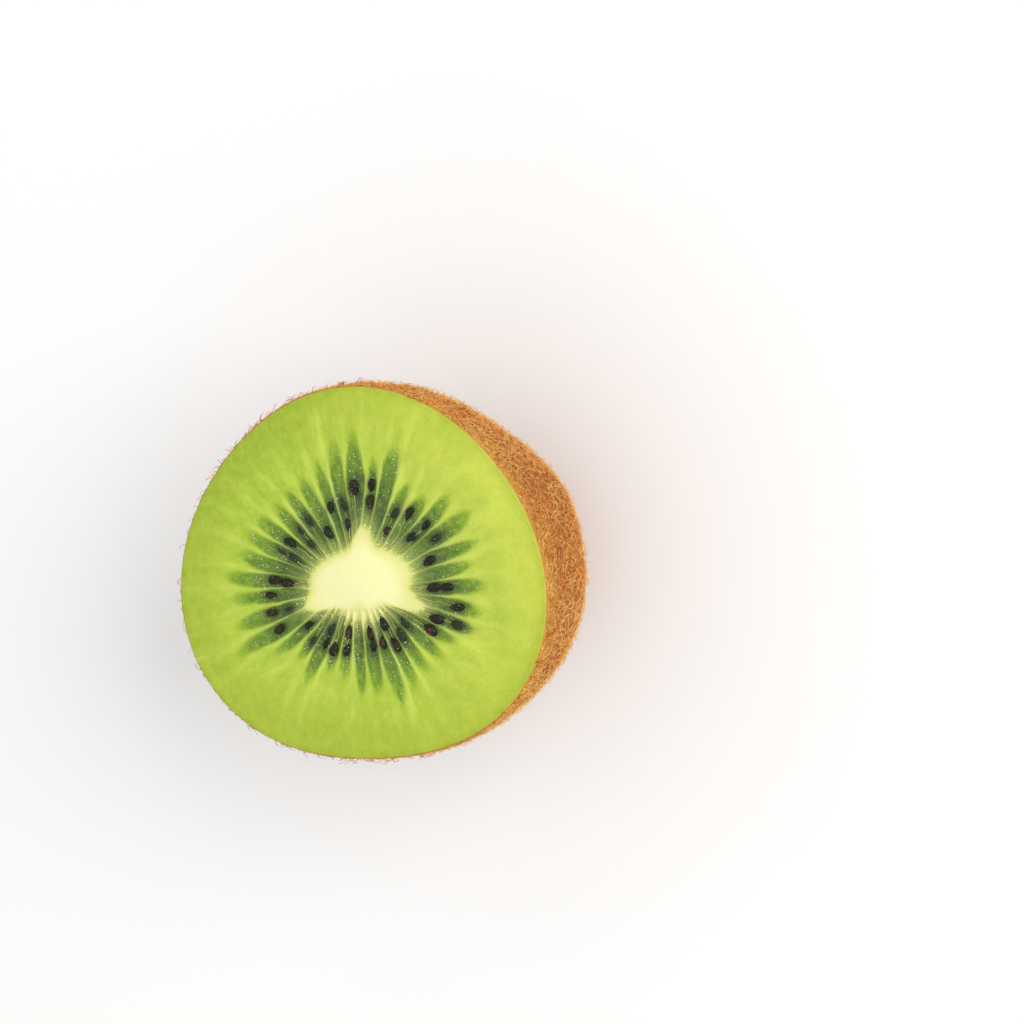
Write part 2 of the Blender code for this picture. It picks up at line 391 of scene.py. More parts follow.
def mottledMaterial(name, roughness, specular, first, second, scale, contrast):
    # a colour with soft patches of another
    material, tree, shader, place = newMaterial(name, roughness, specular)
    paint(tree, shader, wash(tree, first, (second, mottle(tree, place, scale, contrast))))
    return material


fleshLook = {
    # painted light and shade: the flesh's green for its shaded side and for its lit side, and the same pair
    # for its edge
    "shadedSideGreen": tint(163, 187, 34), "sunSide": tint(226, 226, 92),
    "shadeEdge": tint(142, 158, 32), "sunEdge": tint(198, 194, 48),
    "paleStreak": tint(209, 225, 90), "deepStreak": tint(142, 178, 38),
    "wedgeTip": tint(132, 168, 36), "wedgeMiddle": tint(100, 131, 40),
    "wedgeDeep": tint(62, 84, 42), "seedShade": tint(42, 54, 32),
    "wallInner": tint(156, 180, 104), "wallOuter": tint(194, 214, 100),
    "coreMiddle": tint(254, 251, 190), "coreEdge": tint(234, 233, 148),
    # speck: the colour of the painted glints
    "coreHaze": tint(206, 208, 104), "speck": tint(232, 244, 206),
    "roughness": 0.36,
    "softness": {"Weight": 0.10, "Scale": 0.0010, "Radius": (1.0, 1.0, 0.35)},
}


def fleshMaterial():
    look = fleshLook
    pale, deep, coreEdge = look["paleStreak"], look["deepStreak"], look["coreEdge"]
    material, tree, shader, place = newMaterial("cutFlesh", look["roughness"], 0.3)
    for key, value in look["softness"].items():
        shader.inputs["Subsurface " + key].default_value = value
    rays = layer(tree, "ray", "Vector")
    longRays = put(tree, "Mapping", {"Vector": rays, "Scale": (1.0, 1.0, 0.28)}).outputs[0]
    wideStreak = mottle(tree, longRays, 8.0, 0.9)
    fineStreak = mottle(tree, longRays, 24.0, 1.0)
    comb = mottle(tree, longRays, 75.0, 1.1)
    patches = mottle(tree, place, 300.0, 1.0)
    small = mottle(tree, place, 900.0, 1.0)
    grain = mottle(tree, place, 3600.0, 0.9)

    # painted light and shade: the lit and shaded greens are mixed by the painted "sunny" layer, on the face
    # and at the rim's edge
    edge = wash(tree, look["shadeEdge"], (look["sunEdge"], "sunny"))
    green = wash(tree, look["shadedSideGreen"], (look["sunSide"], "sunny"), (edge, "rim"),
                 (deep, wideStreak, "streak", 0.62), (pale, fineStreak, "streak", 0.58), (deep, patches, 0.4),
                 (pale, small, 0.34), (deep, grain, 0.3), (deep, "flame"), (pale, "streamer"))

    dark = layer(tree, "dark")
    for uneven, low, high in ((fineStreak, 0.10, -0.22), (small, -0.14, 0.14), (comb, 0.12, -0.12)):
        dark = sums(tree, "ADD", dark, ramp(tree, uneven, 0.0, 1.0, low, high))
    wedge = wash(tree, look["wedgeTip"], (look["wedgeMiddle"], ramp(tree, dark, 0.0, 0.5)),
                 (look["wedgeDeep"], ramp(tree, dark, 0.45, 1.0)))
    wall = wash(tree, look["wallInner"], (look["wallOuter"], "wallPale"))
    cream = wash(tree, look["coreHaze"], (coreEdge, ramp(tree, layer(tree, "cream"), 0.35, 0.95)),
                 (look["coreMiddle"], "coreDepth"), (coreEdge, grain, 0.34), (coreEdge, small, 0.12))

    # painted glints: pale specks laid on the flesh's colour, densest in the wedges; the same dots also make
    # the flesh glossier and add bump
    glint = layer(tree, "glint")
    glintDots = specks(tree, place, 2500.0, 0.27, times(tree, glint, 0.42))
    fineGlintDots = specks(tree, place, 4200.0, 0.30, times(tree, glint, 0.42))
    glintSpeckle = sums(tree, "MAXIMUM", glintDots, times(tree, fineGlintDots, 0.5))
    glintSpeckle = times(tree, glintSpeckle, ramp(tree, glint, 0.1, 0.8, 0.35, 0.8))
    colour = wash(tree, green, (wedge, "wedge"), (wall, "wall"), (look["wallInner"], "fine", comb, 0.62),
                  (look["seedShade"], "seedShade"), (cream, "cream"), (look["speck"], glintSpeckle))
    paint(tree, shader, colour)

    wet = ramp(tree, patches, 0.0, 1.0, look["roughness"] - 0.06, look["roughness"] + 0.12)
    tree.links.new(sums(tree, "SUBTRACT", wet, times(tree, glintSpeckle, 0.25)), shader.inputs["Roughness"])
    relief = times(tree, fineStreak, layer(tree, "streak"), 0.5)
    relief = sums(tree, "ADD", relief, times(tree, grain, 0.3))
    roughen(tree, shader, sums(tree, "ADD", relief, times(tree, glintDots, 0.8)), 0.35, 0.00006)
    return material


# Seeds, glossy teardrops in two rows with their points towards the core.

seeding = {
    "length": 2.1 * mm, "width": 1.3 * mm, "thickness": 1.0 * mm,
    "sizes": (0.82, 1.12),
    "sunk": 0.46 * mm,
    "deeperShare": 0.3, "deeper": 0.24 * mm,
    "innerRow": 2.6 * mm, "outerRow": 5.0 * mm, "rowSpread": 0.6 * mm,
    "innerEvery": 2, "outerGapEvery": 5,
    "turn": math.radians(14), "scatter": 0.12, "draw": 11,
    "black": tint(30, 26, 19), "chestnut": tint(98, 54, 30),
    "veil": tint(46, 60, 34), "gleam": tint(214, 222, 196),
}


def seedPlaces():
    # chamber angle, distance from the core, turn and size of each seed, drawn as the solid's seeds are
    draw = random.Random(seeding["draw"])
    for chamber in range(chambers["count"]):
        rows = []
        if chamber % seeding["innerEvery"] == 0:
            rows.append(seeding["innerRow"])
        if chamber % seeding["outerGapEvery"]:
            rows.append(seeding["outerRow"])
        for row in rows:
            middle = chamber + 0.5 + draw.uniform(-seeding["scatter"], seeding["scatter"])
            beyond = row + draw.uniform(-seeding["rowSpread"], seeding["rowSpread"])
            turn = draw.uniform(-seeding["turn"], seeding["turn"])
            yield lap * middle / chambers["count"], beyond, turn, draw.uniform(*seeding["sizes"])


def seedsDrawn():
    # each seed's place on the cut, heading, size, tilt, depth, veil and warmth
    draw = random.Random(seeding["draw"] + 1)
    drawn = []
    for angle, beyond, turn, size in seedPlaces():
        start, end = ray(np.array([angle]))
        outward = (end - start)[0]
        hidden = draw.random() < seeding["deeperShare"]
        drawn.append({
            "place": facePoint(np.array([angle]), np.array([beyond]))[0],
            "heading": math.atan2(outward[1], outward[0]) + turn,
            "long": seeding["length"] * size * draw.uniform(0.84, 1.04),
            "wide": seeding["width"] * size * draw.uniform(0.78, 1.04),
            "thick": seeding["thickness"] * size,
            "tilt": draw.uniform(-0.2, 0.12),
            "sunk": seeding["sunk"] + (seeding["deeper"] * draw.uniform(0.7, 1.2) if hidden else 0),
            "veil": draw.uniform(0.6, 0.85) if hidden else draw.uniform(0.0, 0.2),
            "warmth": draw.uniform(0.2, 1.0),
        })
    return drawn


def shadeRoundSeeds(grid):
    # how dark the flesh is at each point for a seed that lies near or just under it
    shade = np.zeros(grid.shape[:2])
    for seed in seedsDrawn():
        away = grid - seed["place"]
        forward, sideways = turnFlat(away[..., 0], away[..., 1], -seed["heading"])
        ahead = (forward - 0.1 * seed["long"]) / (0.78 * seed["long"])
        spread = np.hypot(ahead, sideways / (0.72 * seed["wide"]))
        shade = np.maximum(shade, np.exp(-(spread ** 3)) * (0.55 + 0.35 * seed["veil"]))
    return shade


# The flesh, with the cut face's relief and the layers that its colours follow.

facing = {
    "columns": 900,
    "coreRows": (0.0, 0.12, 0.25, 0.38, 0.5, 0.61, 0.7, 0.78, 0.84, 0.89, 0.93, 0.96, 0.98, 1.0),
    "chamberStep": 0.2 * mm, "chamberRows": 47, "fleshRows": 22, "rimRows": 4, "flatRows": 2,
    "rimRound": 0.14 * mm,
    "peelEdge": 0.09 * mm,
    "sideRows": 12,
    "skinThickness": 0.33 * mm,
    # where the photo's light falls on the cut, where it is shaded, and where its edge is yellower
    "litTurn": 8, "shaded": (118, 48), "yellowed": (-38, 24),
}


def chamberFields(angle, beyond):
    # what shows at each point of the cut: how much of it is wedge, wall, streak, cream and so on
    count = chambers["count"]
    draw = np.random.default_rng(chambers["seed"])
    middles = (np.arange(count) + 0.5) * lap / count
    longer = 1.0 + swellings(middles, chambers["longer"]) - 0.03 * np.cos(middles)
    reach = chambers["stain"] * draw.uniform(*chambers["stainSpread"], count) * longer
    depth, brightness, plump, thickness = (
        draw.uniform(low, high, count) for low, high in ((0.72, 1.0), (0.15, 1.0), (0.8, 1.08), (0.6, 1.3)))

    lane = np.stack([np.cos(angle) * 4, np.sin(angle) * 4, beyond / (6 * mm)], axis=-1)
    wander = roughly(lane, 1.0, 3.1) + 0.22 * roughly(lane * (3, 3, 5), 1.0, 5.3)
    turn = count * angle / lap + chambers["wander"] * wander
    feather = roughly(lane * (7, 7, 2.5), 1.0, 8.2)
    blotch = roughly(lane * (9, 9, 6), 1.0, 4.7)
    index = np.floor(turn).astype(int) % count
    wallIndex = np.rint(turn).astype(int) % count
    fromMiddle = np.abs(turn - np.floor(turn) - 0.5)
    fromWall = 0.5 - fromMiddle
    outside = np.clip(beyond, 0, None)
    share = outside / reach[index] * (1 + 0.06 * feather)

    # the wedges of dark flesh, widest near the core, and the green flames beyond them
    halfWidth = plump[index] * np.interp(share, [0, 0.15, 0.5, 0.75, 0.9, 1.0, 1.1],
                                         [0.48, 0.52, 0.47, 0.37, 0.27, 0.14, -0.1])
    soft = np.interp(share, [0, 0.4, 0.7, 1], [0.05, 0.06, 0.10, 0.16])
    wedge = step(halfWidth - fromMiddle + 0.05 * feather * share, -soft, soft) * (1 - step(share, 0.85, 1.14))
    wedge = wedge * step(beyond, -0.3 * mm, 0.3 * mm)
    dark = np.interp(share, [0, 0.08, 0.25, 0.45, 0.65, 0.85, 1.0], [0.62, 0.82, 1.0, 0.88, 0.6, 0.35, 0.15])
    dark = dark * depth[index] * (1 + 0.22 * blotch)
    flame = np.exp(-((fromMiddle / 0.34) ** 2)) * step(share, 0.45, 0.85) * (1 - step(share, 0.95, 1.7))
    flame = flame * (0.55 + 0.5 * depth[index]) * (1 + 0.35 * blotch)

    # the pale walls between them, which run on outwards as streamers
    lineWidth = thickness[wallIndex] * np.interp(share, [0, 0.3, 0.7, 1, 1.3], [0.05, 0.06, 0.08, 0.12, 0.16])
    line = np.exp(-((fromWall / lineWidth) ** 2))
    fade = step(share, 0.03, 0.45) * (1 - step(share, 0.7, 1.15))
    wall = line * fade * brightness[wallIndex] * (1 + 0.5 * feather)
    streamer = 0.85 * np.exp(-((fromWall / (2.0 * lineWidth)) ** 2))
    streamer = streamer * step(share, 0.45, 1.0) * (1 - step(share, 1.0, 2.0))
    patchy = step(roughly(lane * (5, 5, 2.6), 1.0, 7.4), -0.35, 0.35)
    streamer = streamer * (0.2 + 0.8 * brightness[wallIndex]) * (0.25 + 0.7 * patchy)
    fine = np.exp(-((outside / (2.8 * mm)) ** 2)) * step(beyond, -0.6 * mm, 0.4 * mm)

    # the core's cream fades outwards in a ragged haze that runs a little along the walls
    ragged = roughly(lane * (12, 12, 2), 1.0, 2.4)
    edging = core["scallop"] * (np.cos(lap * turn) + 1.3 * feather + 1.4 * ragged) + 0.6 * mm * (line - 0.3)
    narrower = 0.4 * mm * (1 - np.cos(angle + math.radians(50)))
    hazy = beyond - (edging + coreFill(angle) - narrower) * step(beyond, -1.2 * mm, 0.6 * mm)
    inWedge = np.clip(wedge, 0, 1) * np.interp(share, [0, 0.3, 0.6, 1], [0.3, 0.45, 0.9, 0.9])
    ringGlint = np.interp(beyond / mm, [-1.2, -0.2, 0.4, 1.2, 9, 13, 18], [0, 0.5, 0.7, 0.3, 0.36, 0.3, 0.18])
    fields = {
        "wedge": np.clip(wedge, 0, 1) * 0.97,
        "dark": dark,
        "flame": flame,
        "streamer": streamer,
        "fine": fine,
        "wall": wall,
        "wallPale": step(share, 0.25, 0.8),
        "cream": np.interp(hazy / mm, core["hazeAt"], core["haze"]),
        "streak": step(beyond, 1.0 * mm, 6.0 * mm) * (1 - 0.65 * step(beyond, 11 * mm, 16 * mm)),
        "glint": np.maximum(ringGlint, inWedge),
    }
    return {name: np.clip(values, 0, 1) for name, values in fields.items()}, feather


def chamberDip(angle, beyond):
    share = np.clip(beyond / chambers["reach"], 0, 1)
    betweenWalls = 0.5 - 0.5 * np.cos(chambers["count"] * angle)
    wallShare = chambers["wallShare"]
    bowl = np.sin(math.pi * share ** chambers["dipBias"])
    return -chambers["dip"] * bowl * (wallShare + (1 - wallShare) * betweenWalls)


def facePoint(angle, beyond):
    # the point of the cut face at this distance beyond the core's edge
    start, end = ray(angle)
    length = np.linalg.norm(end - start, axis=-1)
    point = start + (end - start) * (beyond / length)[..., None]
    outward = np.clip((beyond - chambers["reach"]) / (length - chambers["reach"]), 0, 1)
    point[..., 2] += chamberDip(angle, beyond) + form["fleshCrown"] * np.sin(math.pi * outward) ** 2
    return point


def makeFlesh():
    angle = np.arange(facing["columns"]) * lap / facing["columns"]
    start, end = ray(angle)
    length = np.linalg.norm(end - start, axis=-1)
    rows, beyonds = [], []
    fromAxis = start - np.array(axis)
    direction = np.arctan2(fromAxis[:, 0], -fromAxis[:, 1])
    radius = np.linalg.norm(fromAxis, axis=-1)
    for share in facing["coreRows"]:
        row = start * share + np.array(axis) * (1 - share)
        out = radius * share / coreOval(direction)
        row[:, 2] += core["rise"] * np.clip(1 - out ** 2, 0, 1) ** 1.5
        rows.append(row)
        beyonds.append((share - 1) * radius)
    for number in range(1, facing["chamberRows"] + 1):
        beyonds.append(np.full(len(angle), number * facing["chamberStep"]))
        rows.append(facePoint(angle, beyonds[-1]))
    # the core is palest in its middle, well inside the edge of its cream
    middles = []
    for beyond in beyonds:
        inward = step(coreFill(angle) - beyond, 0.2 * mm, 1.9 * mm)
        middles.append((1 - step((radius + beyond) / lobed(direction, spacing), 0.6, 1.1)) * inward)
    inner = beyonds[-1]
    for number in range(1, facing["fleshRows"] + 1):
        beyonds.append(inner + (length - inner) * number / facing["fleshRows"])
        rows.append(facePoint(angle, beyonds[-1]))
    faceRows = len(rows)
    # beyond the crowned flesh the cut stays flat up to the peel, and turns down just inside it
    rimRound = facing["rimRound"]
    outer = sideRadius(angle, rimRound / form["halfLength"]) - facing["peelEdge"]
    inner = lobed(angle, form) - form["rimRound"]
    for number in range(1, facing["flatRows"] + 1):
        radius = inner + (outer - rimRound - inner) * number / facing["flatRows"]
        rows.append(around(angle, radius, 0))
        beyonds.append(length + radius - inner)
    for number in range(1, facing["rimRows"] + 1):
        turn = math.radians(80) * number / facing["rimRows"]
        radius = outer - rimRound * (1 - math.sin(turn))
        rows.append(around(angle, radius, -rimRound * (1 - math.cos(turn))))
        beyonds.append(length + radius - inner)
    # the flesh under the skin, closed near the stem end
    inside = facing["skinThickness"] + 0.05 * mm
    first, last = form["rimRound"] / form["halfLength"] * 0.9, shareWhere(9 * mm)
    shares = np.sin(np.linspace(math.asin(first), math.asin(last), facing["sideRows"]))
    for share in shares:
        rows.append(around(angle, sideRadius(angle, share) - inside, -form["halfLength"] * share))
    rows.append(around(angle, 0 * angle, -form["halfLength"] * shares[-1] - 0.3 * mm))
    beyonds += [length + form["rimRound"]] * (len(shares) + 1)

    grid, beyond = np.array(rows), np.array(beyonds)
    allAngles = np.broadcast_to(angle, beyond.shape)
    fields, feather = chamberFields(allAngles, beyond)
    # painted light and shade: the cut is painted paler towards the lit side and darker in a shaded lobe,
    # easing to an even middle near the core
    lit = np.clip(np.cos(allAngles - math.radians(facing["litTurn"])), 0, 1)
    sunny = 0.22 + 0.78 * lit - 0.26 * swelling(allAngles, *facing["shaded"])
    sunny = 0.55 + (sunny - 0.55) * step(beyond, -2 * mm, 9 * mm)
    # the rim layer: painted shade on the last of the flat and on the rounded rim, which catches the lamp, and
    # near the rim on the shaded side; and a yellower edge on one side
    fromRim = beyond - length
    yellowed = swelling(allAngles, *facing["yellowed"])
    rimNear = 0.6 * step(fromRim, -0.6 * mm, 0.5 * mm) + 0.55 * yellowed * step(fromRim, -2.4 * mm, 0.4 * mm)
    rimNear = rimNear + 0.6 * (1 - sunny) * step(fromRim, -7 * mm, 0)
    fields["rim"] = np.clip(rimNear, 0, 1)
    fields["coreDepth"] = np.zeros(beyond.shape)
    fields["coreDepth"][:len(middles)] = middles
    fields["sunny"] = np.clip(sunny, 0, 1)
    fields["seedShade"] = shadeRoundSeeds(grid)
    fields["ray"] = np.stack([np.cos(allAngles), np.sin(allAngles), beyond / (10 * mm)], axis=-1)

    # fine relief: walls stand a little, streaks ripple the flesh, and the wet surface is uneven
    bumpy = roughly(grid, 0.9 * mm, 5.0) * 0.018 * mm + roughly(grid, 3.5 * mm, 1.0) * 0.05 * mm
    ridges = 0.09 * mm * fields["wall"] - 0.05 * mm * fields["wedge"]
    ripple = 0.025 * mm * feather * fields["streak"]
    onFace = 1 - step(fromRim, -2.5 * mm, -0.4 * mm)
    grid[1:faceRows, :, 2] += ((bumpy + ridges + ripple) * onFace)[1:faceRows]
    return finishPiece(wrapGrid("flesh", grid, fields), fleshMaterial())


# The skin, a thin furry peel from its lip at the cut down to the stem scar.

peel = {
    "columns": 480, "sideRows": 54,
    "tan": tint(208, 126, 58), "brown": tint(150, 80, 34),
    "olive": tint(170, 118, 52), "scarDark": tint(84, 40, 24),
    "stemDry": tint(158, 112, 72), "stemDark": tint(92, 58, 36),
    # lip: the peel's cut edge, its own colour made golden with a painted highlight of lit hair tips
    "lip": tint(208, 158, 74),
}
scar = {
    "radius": 6.4 * mm,
    "collarOuter": 5.5 * mm, "collarInner": 4.2 * mm, "collarEdge": 5.75 * mm,
    "foot": -33.7 * mm, "edgeRise": 0.18 * mm,
    "grooveRadius": 3.6 * mm, "grooveTop": -33.0 * mm,
    "buttonRadius": 3.0 * mm, "buttonTop": -33.45 * mm,
    "dryness": (0.5, 0.7, 1.0, 1.0, 0.9, 0.5, 0.1, 0.0, 0.2, 0.8, 1.0, 0.9, 0.5, 0.2),
}


def skinPoint(angle, share):
    return around(angle, sideRadius(angle, share), -form["halfLength"] * share)


def skinMaterial():
    look = peel
    material, tree, shader, place = newMaterial("furrySkin", 0.85, 0.25)
    broad = mottle(tree, place, 130.0, 0.9)
    fine = mottle(tree, place, 900.0, 1.0)
    pits = mottle(tree, place, 2400.0, 0.7)
    dark = look["scarDark"]
    dry = wash(tree, look["stemDry"], (look["stemDark"], fine), (dark, pits, 0.5))
    paint(tree, shader, wash(tree, look["tan"], (look["olive"], broad), (look["brown"], fine, 0.55),
                             (dark, pits, 0.45), (dark, "scar"), (dry, "stem"), (look["lip"], "lip")))
    roughen(tree, shader, sums(tree, "ADD", fine, pits))
    return material


def makeSkin():
    columns = peel["columns"]
    angle = np.arange(columns) * lap / columns
    rimShare = 0.28 * mm / form["halfLength"]
    outerRim = sideRadius(angle, rimShare)
    button, groove, foot = scar["buttonTop"], scar["grooveTop"], scar["foot"]
    scarProfile = [
        (0.0, button - 0.12 * mm), (0.5 * mm, button - 0.1 * mm), (0.9 * mm, button),
        (1.6 * mm, button + 0.05 * mm), (2.4 * mm, button - 0.02 * mm),
        (scar["buttonRadius"], button + 0.06 * mm), (3.3 * mm, groove - 0.12 * mm),
        (scar["grooveRadius"], groove), (3.9 * mm, groove - 0.3 * mm),
        (scar["collarInner"], foot), (4.85 * mm, foot), (scar["collarOuter"], foot),
        (scar["collarEdge"], foot + scar["edgeRise"]), (scar["radius"] - 0.3 * mm, foot + 0.55 * mm),
    ]
    rows, scarness = [], []
    for radius, height in scarProfile:
        wave = 0.15 * mm * np.sin(5 * angle) * step(radius, 3.4 * mm, 4.2 * mm)
        rows.append(around(angle, radius + wave, height))
        scarness.append(1.0)
    shares = np.sin(np.linspace(math.asin(shareWhere(scar["radius"])), math.asin(rimShare), peel["sideRows"]))
    for share in shares:
        rows.append(skinPoint(angle, share))
        scarness.append(float(1 - step(sideRadius(0.0, share), 7.0 * mm, 11.0 * mm)))
    outerRows = len(rows)
    for inset, drop in ((0.02, 0.2), (0.04, 0.1), (0.08, 0.05), (0.14, 0.07), (0.24, 0.3)):
        rows.append(around(angle, outerRim - inset * mm, -drop * mm))
    lipRows = len(rows)
    for share in shares[::-1][4::5]:
        radius = sideRadius(angle, share) - facing["skinThickness"]
        rows.append(around(angle, radius, -form["halfLength"] * share))
    rows.append(around(angle, 0 * angle, groove + 0.4 * mm))
    grid = np.array(rows)

    # the skin's small lumps go inwards, so that it stays inside the solid
    bumpy = roughly(grid, 1.1 * mm, 2.0) * 0.03 * mm + roughly(grid, 0.5 * mm, 4.0) * 0.02 * mm
    outward = grid - np.array(axis)
    outward[..., 2] = -(((-outward[..., 2]) / form["halfLength"]) ** 2) * form["radius"] * 0.6
    inwards = unit(outward) * (np.abs(bumpy) + 0.02 * mm)[..., None]
    grid[len(scarProfile):outerRows - 2] -= inwards[len(scarProfile):outerRows - 2]
    inScar, lip, stem = (np.zeros(grid.shape[:2]) for number in range(3))
    inScar[:len(scarness)] = np.array(scarness)[:, None] * 0.9
    # the lip rows carry the lip colour, partly a painted highlight of lit hair tips
    lip[outerRows - 2:lipRows] = 0.8
    stem[:len(scarProfile)] = np.array(scar["dryness"])[:, None]
    finishPiece(wrapGrid("skin", grid, {"scar": inScar, "lip": lip, "stem": stem}), skinMaterial())


# Dried sepals, curled flakes that lie round the outside of the scar's collar.

flakes = {
    "count": 17, "length": (1.5, 3.0), "width": (0.7, 1.4), "thickness": 0.09 * mm,
    "start": 5.35 * mm, "lift": 0.16 * mm, "draw": 61,
    "pale": tint(186, 138, 88), "dark": tint(96, 54, 32),
}


def flakeMaterial():
    material, tree, shader, place = newMaterial("driedSepal", 0.8, 0.2)
    fibres = mottle(tree, place, 3000.0, 0.9)
    patches = mottle(tree, place, 700.0, 1.0)
    paint(tree, shader, wash(tree, flakes["pale"], (flakes["dark"], patches), (flakes["dark"], fibres, 0.5)))
    roughen(tree, shader, fibres)
    return material


def makeFlakes():
    deselectAll()
    bpy.ops.mesh.primitive_cube_add(size=1)
    editAll(bpy.context.object, (bpy.ops.mesh.subdivide, {"number_cuts": 7}))
    points, faces = template(bpy.context.object)
    along, sideways, through = points[:, 0] + 0.5, points[:, 1], points[:, 2]
    # the skin's level between the collar and the side, to lay the flakes on
    radii = np.linspace(scar["radius"], 10 * mm, 20)
    groundRadius = np.concatenate(([scar["collarOuter"], scar["collarEdge"]], radii))
    sideLevel = -form["halfLength"] * shareWhere(radii)
    ground = np.concatenate(([scar["foot"], scar["foot"] + scar["edgeRise"]], sideLevel))
    draw = np.random.default_rng(flakes["draw"])
    placed = []
    for number in range(flakes["count"]):
        turn = lap * (number + draw.uniform(-0.35, 0.35)) / flakes["count"]
        length, width = draw.uniform(*flakes["length"]) * mm, draw.uniform(*flakes["width"]) * mm
        ragged = roughly(points, 0.35, draw.uniform(0, 40))
        radius = flakes["start"] + along * length * (1 + 0.12 * ragged)
        taper = 1 - 0.75 * along ** 2.2
        across = sideways * width * taper * (1 + 0.25 * ragged) + 0.25 * width * along * draw.uniform(-1, 1)
        curl = draw.uniform(0.1, 0.42) * mm * along ** 2
        curl = curl - 0.3 * width * (2 * sideways) ** 2 * draw.uniform(0.1, 0.5)
        height = np.interp(radius, groundRadius, ground) - flakes["lift"] - curl + 0.05 * mm * ragged
        height = np.maximum(height, -cutLevel + 0.2 * mm) + through * flakes["thickness"]
        placed.append(around(turn + across / radius, radius, height))
    finishPiece(joinCopies("sepals", np.array(placed), faces, {}), flakeMaterial())


say("flesh and skin")
flesh = makeFlesh()
makeSkin()
makeFlakes()
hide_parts("kiwi_half")


def seedMaterial():
    material, tree, shader, place = newMaterial("seedCoat", 0.3, 0.22)
    patches = mottle(tree, place, 1100.0, 0.8)
    pits = mottle(tree, place, 4600.0, 1.2)
    sparkle = specks(tree, place, 3000.0, 0.24, 0.12)
    red = ramp(tree, times(tree, patches, layer(tree, "warmth"), layer(tree, "crown")), 0.25, 0.95)
    colour = wash(tree, seeding["black"], (seeding["chestnut"], red), (seeding["black"], pits, 0.3),
                  (seeding["veil"], "veil"), (seeding["gleam"], sparkle, 0.8))
    paint(tree, shader, colour)
    tree.links.new(ramp(tree, pits, 0.0, 1.0, 0.24, 0.46), shader.inputs["Roughness"])
    roughen(tree, shader, pits, 0.7, 0.00005)
    return material


def makeSeeds():
    deselectAll()
    bpy.ops.mesh.primitive_uv_sphere_add(segments=20, ring_count=14, radius=0.5, rotation=(0, math.pi / 2, 0))
    bpy.ops.object.transform_apply(location=False, rotation=True, scale=False)
    points, faces = template(bpy.context.object)
    # a teardrop: full at the outer end, drawn in to a point at the inner one
    x = points[:, 0]
    full = 0.30 + 0.78 * np.sqrt(np.clip(x + 0.5, 0, 1)) - 0.06 * np.clip(x, 0, 1)
    drop = np.stack([x, points[:, 1] * full, points[:, 2] * full], axis=-1)

    seeds = seedsDrawn()
    placed = []
    draw = np.random.default_rng(seeding["draw"])
    for seed in seeds:
        body = drop * (seed["long"], seed["wide"], seed["thick"])
        body = body * (1 + 0.07 * roughly(drop, 0.45, draw.uniform(0, 50))[:, None])
        body[:, 2] += body[:, 0] * seed["tilt"]
        body[:, 1] += 0.12 * seed["wide"] * math.sin(draw.uniform(0, lap)) * (2 * x) ** 2
        turned = np.stack([*turnFlat(body[:, 0], body[:, 1], seed["heading"]), body[:, 2]], axis=-1)
        placed.append(turned + seed["place"] + np.array([0, 0, seed["thick"] / 2 - seed["sunk"]]))
    layers = {name: np.array([seed[name] for seed in seeds])[:, None] for name in ("veil", "warmth")}
    layers["crown"] = step(points[:, 2], 0.05, 0.4)[None, :]
    finishPiece(joinCopies("seeds", np.array(placed), faces, layers), seedMaterial())


say("seeds")
makeSeeds()

# Seed stalks, fine pale golden threads that wander from the core's edge to the seeds.

stalks = {
    "share": 0.55, "thickness": 0.075 * mm, "sway": 0.13 * mm, "lift": 0.05 * mm,
    "steps": 20, "draw": 23,
    "pale": tint(228, 224, 146), "rust": tint(200, 170, 84),
}


def makeStalks():
    draw = random.Random(stalks["draw"])
    curve = bpy.data.curves.new("seedStalks", "CURVE")
    curve.dimensions = "3D"
    curve.bevel_depth = stalks["thickness"] / 2
    curve.bevel_resolution = 1
    curve.use_fill_caps = True
    for angle, beyond, turn, size in seedPlaces():
        if draw.random() > stalks["share"]:
            continue
        reach = beyond - seeding["length"] * size * 0.4
        first = draw.uniform(-0.2, 0.3) * mm + coreFill(angle)
        shift = draw.uniform(-0.35, 0.35) * lap / chambers["count"]
        phase, waves = draw.uniform(0, lap), draw.uniform(0.7, 1.6)
        spline = curve.splines.new("POLY")
        spline.points.add(stalks["steps"])
        for number in range(stalks["steps"] + 1):
            share = number / stalks["steps"]
            distance = first + (reach - first) * share
            swing = math.sin(phase + lap * waves * share) * math.sin(math.pi * min(1, share * 1.1))
            bend = angle + shift * (1 - share) + stalks["sway"] * swing / (coreRadius(angle) + distance)
            point = facePoint(np.array([bend]), np.array([max(distance, 0)]))[0]
            rise = stalks["lift"] + 0.08 * mm * math.sin(phase + 5 * share)
            spline.points[number].co = (point[0], point[1], point[2] + rise, 1)
            spline.points[number].radius = 1.15 - 0.5 * share
    selectOnly(addObject("seedStalks", curve))
    bpy.ops.object.convert(target="MESH")
    editAll(bpy.context.object, (bpy.ops.mesh.remove_doubles, {"threshold": 0.000001}), normalsOutwards)
    look = mottledMaterial("seedStalk", 0.4, 0.5, stalks["pale"], stalks["rust"], 420.0, 0.8)
    finishPiece(bpy.context.object, look)


say("seed stalks")
makeStalks()

# Fuzz: each kind is one hair modelled once, then bent and copied all over the skin. Its lengths and how far
# it stands up are in millimetres.

